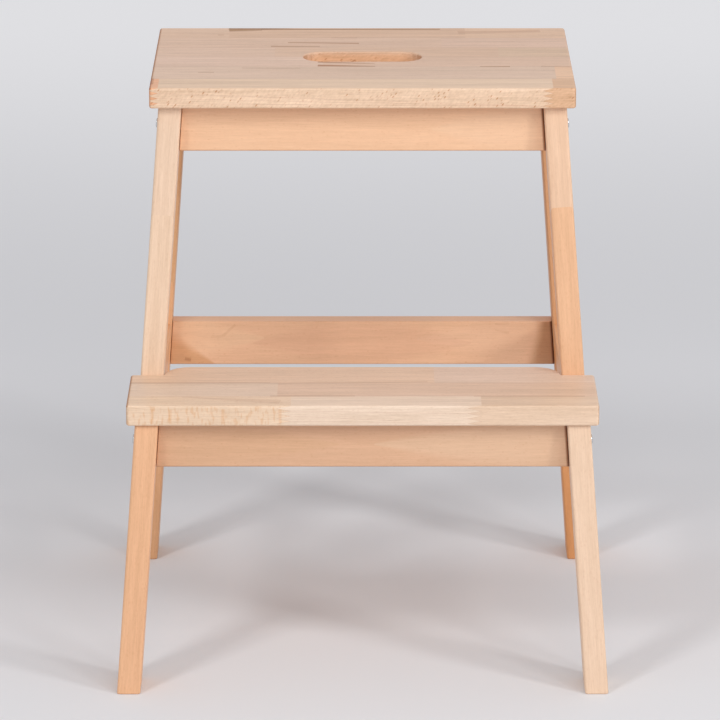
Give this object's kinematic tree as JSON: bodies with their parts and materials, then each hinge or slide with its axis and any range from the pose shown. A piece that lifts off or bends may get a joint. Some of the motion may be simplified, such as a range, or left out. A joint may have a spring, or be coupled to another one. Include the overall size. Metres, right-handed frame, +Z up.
{
  "type": "two-step stool",
  "caption": "Fixed wooden step stool with a slotted top step, a lower step notched round the upper legs, and splayed legs joined by rails.",
  "frame": {"origin": "on the floor, midway between the four feet", "axes": "+Z up, +X to the user's right when facing the lower step, +Y from the lower step towards the rear legs"},
  "size_m": [0.4218, 0.3897, 0.5],
  "materials": {
    "beech_frame": "fine-sanded solid beech with a thin clear matt lacquer",
    "beech_board": "glued-up, finger-jointed beech staves, sanded, with a thin clear matt lacquer",
    "dowel_beech": "plain turned beech, unfinished",
    "zinc_steel": "bright zinc-plated steel"
  },
  "bodies": {
    "root": {"barrel_nut_lower_front_left": "zinc_steel", "barrel_nut_lower_front_right": "zinc_steel", "barrel_nut_lower_rear_left": "zinc_steel", "barrel_nut_lower_rear_right": "zinc_steel", "barrel_nut_upper_front_left": "zinc_steel", "barrel_nut_upper_front_right": "zinc_steel", "barrel_nut_upper_rear_left": "zinc_steel", "barrel_nut_upper_rear_right": "zinc_steel", "bolt_lower_front_left": "zinc_steel", "bolt_lower_front_right": "zinc_steel", "bolt_lower_rear_left": "zinc_steel", "bolt_lower_rear_right": "zinc_steel", "bolt_upper_front_left": "zinc_steel", "bolt_upper_front_right": "zinc_steel", "bolt_upper_rear_left": "zinc_steel", "bolt_upper_rear_right": "zinc_steel", "leg_dowel_back_left": "dowel_beech", "leg_dowel_back_right": "dowel_beech", "leg_dowel_front_left": "dowel_beech", "leg_dowel_front_right": "dowel_beech", "lower_front_apron": "beech_frame", "lower_front_leg_left": "beech_frame", "lower_front_leg_right": "beech_frame", "lower_side_rail_left": "beech_frame", "lower_side_rail_right": "beech_frame", "lower_step": "beech_board", "rail_dowel_lower_front_left": "dowel_beech", "rail_dowel_lower_front_right": "dowel_beech", "rail_dowel_lower_rear_left": "dowel_beech", "rail_dowel_lower_rear_right": "dowel_beech", "rail_dowel_upper_front_left": "dowel_beech", "rail_dowel_upper_front_right": "dowel_beech", "rail_dowel_upper_rear_left": "dowel_beech", "rail_dowel_upper_rear_right": "dowel_beech", "rear_leg_left": "beech_frame", "rear_leg_right": "beech_frame", "rear_rail": "beech_frame", "screw_ear_left": "zinc_steel", "screw_ear_right": "zinc_steel", "screw_lower_front_left": "zinc_steel", "screw_lower_front_right": "zinc_steel", "screw_upper_front_left": "zinc_steel", "screw_upper_front_right": "zinc_steel", "screw_upper_rear_left": "zinc_steel", "screw_upper_rear_right": "zinc_steel", "top_step": "beech_board", "upper_front_apron": "beech_frame", "upper_front_leg_left": "beech_frame", "upper_front_leg_right": "beech_frame", "upper_rear_apron": "beech_frame", "upper_side_rail_left": "beech_frame", "upper_side_rail_right": "beech_frame"}
  },
  "joints": []
}
